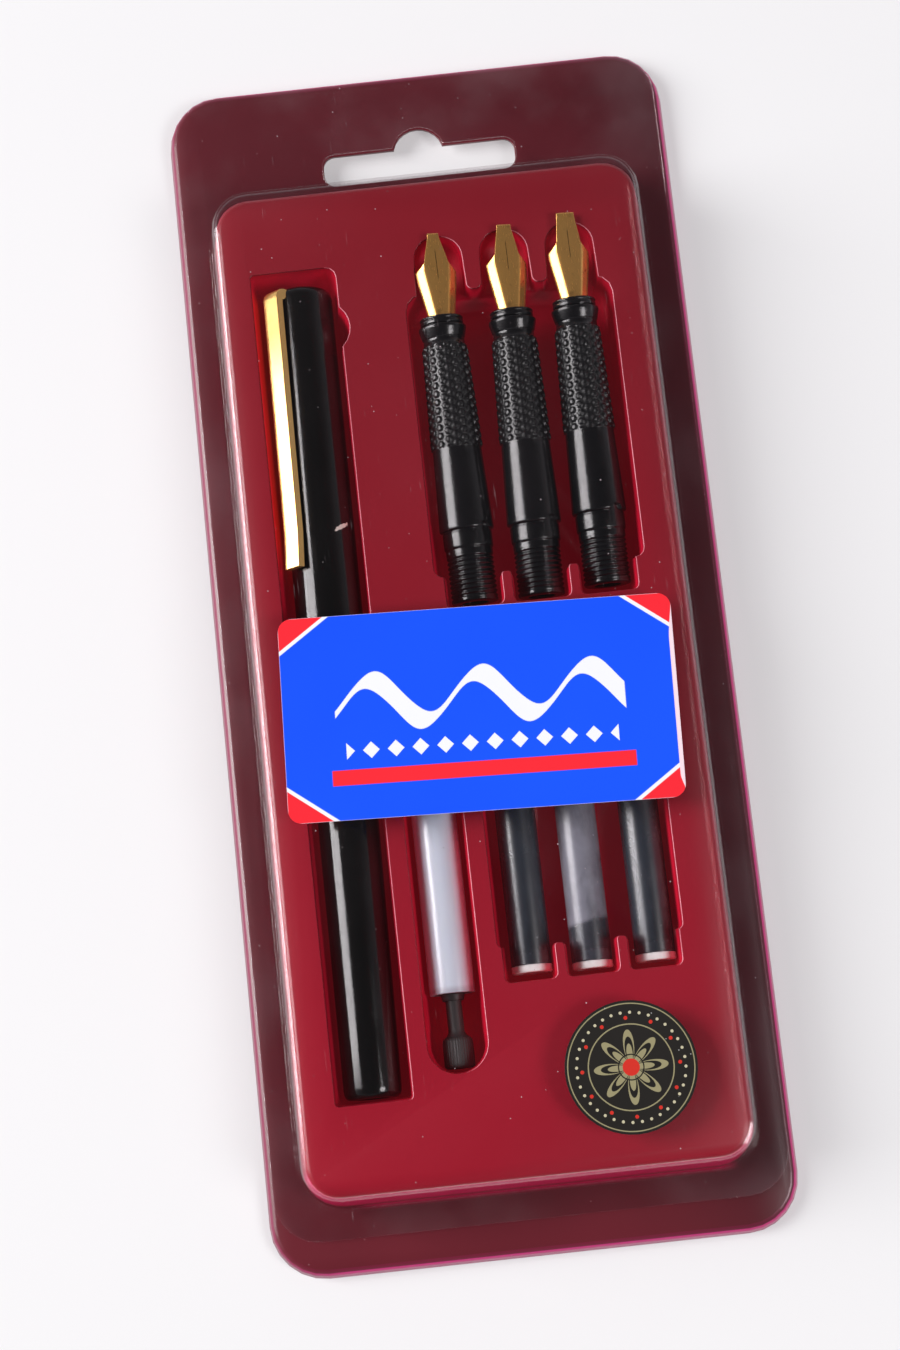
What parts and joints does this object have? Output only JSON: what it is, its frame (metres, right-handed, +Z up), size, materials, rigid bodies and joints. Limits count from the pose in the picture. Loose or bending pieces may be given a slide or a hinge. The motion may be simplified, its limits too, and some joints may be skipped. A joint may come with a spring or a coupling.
{
  "type": "calligraphy set box",
  "caption": "Flat moulded tray under a clear blister cover, holding a capped fountain pen, spare italic nib sections, an ink converter and ink cartridges",
  "frame": {"origin": "the middle of the footprint, on the surface that the tray's skirt stands on", "axes": "the box lies on its back: +Z up out of the cover, +Y towards the hanging slot, X across its width with the pen at -X"},
  "size_m": [0.086, 0.203, 0.0164],
  "materials": {
    "tray_plastic": "satin vacuum-formed sheet, burgundy",
    "clear_sheet": "clear glossy vacuum-formed sheet",
    "label_paper": "glossy printed sticker, blue",
    "seal_paper": "glossy printed sticker, black",
    "black_plastic": "polished black",
    "gold_plate": "polished gold plate",
    "nib_gold": "brushed gold plate",
    "feed_plastic": "black, matt",
    "smoky_plastic": "smoky translucent tube",
    "white_plastic": "white, matt",
    "ink": "black ink, near the density of rubber",
    "bead_glass": "glass bead",
    "milky_plastic": "milky white tube",
    "converter_black": "black, satin",
    "grey_rubber": "grey seal"
  },
  "bodies": {
    "box": {"tray": "tray_plastic", "pen_cap": "black_plastic", "cap_clip": "gold_plate", "grip_section_1": "black_plastic", "grip_section_2": "black_plastic", "grip_section_3": "black_plastic", "nib_1": "nib_gold", "nib_2": "nib_gold", "nib_3": "nib_gold", "feed_1": "feed_plastic", "feed_2": "feed_plastic", "feed_3": "feed_plastic", "cartridge_body_1": "smoky_plastic", "cartridge_body_2": "smoky_plastic", "cartridge_body_3": "smoky_plastic", "cartridge_plug_1": "white_plastic", "cartridge_plug_2": "white_plastic", "cartridge_plug_3": "white_plastic", "cartridge_ink_1": "ink", "cartridge_ink_2": "ink", "cartridge_ink_3": "ink", "cartridge_ball_1": "bead_glass", "cartridge_ball_2": "bead_glass", "cartridge_ball_3": "bead_glass", "converter_tube": "milky_plastic", "converter_mouth": "converter_black", "converter_bush": "converter_black"},
    "cover": {"clear_cover": "clear_sheet", "front_label": "label_paper", "round_sticker": "seal_paper"},
    "barrel": {"pen_barrel": "black_plastic"},
    "plunger": {"converter_plunger": "converter_black", "converter_piston": "grey_rubber"}
  },
  "joints": [
    {"name": "cover_lift", "type": "slide", "parent": "box", "child": "cover", "axis": [0, 0, 1], "range_m": [0, 0.06]},
    {"name": "barrel_turn", "type": "hinge", "parent": "box", "child": "barrel", "pos_m": [-0.0232, 0.0008, 0.0073], "axis": [0.0087, 1, 0], "continuous": true},
    {"name": "plunger_push", "type": "slide", "parent": "box", "child": "plunger", "axis": [0, 1, 0], "range_m": [0, 0.0045]}
  ]
}
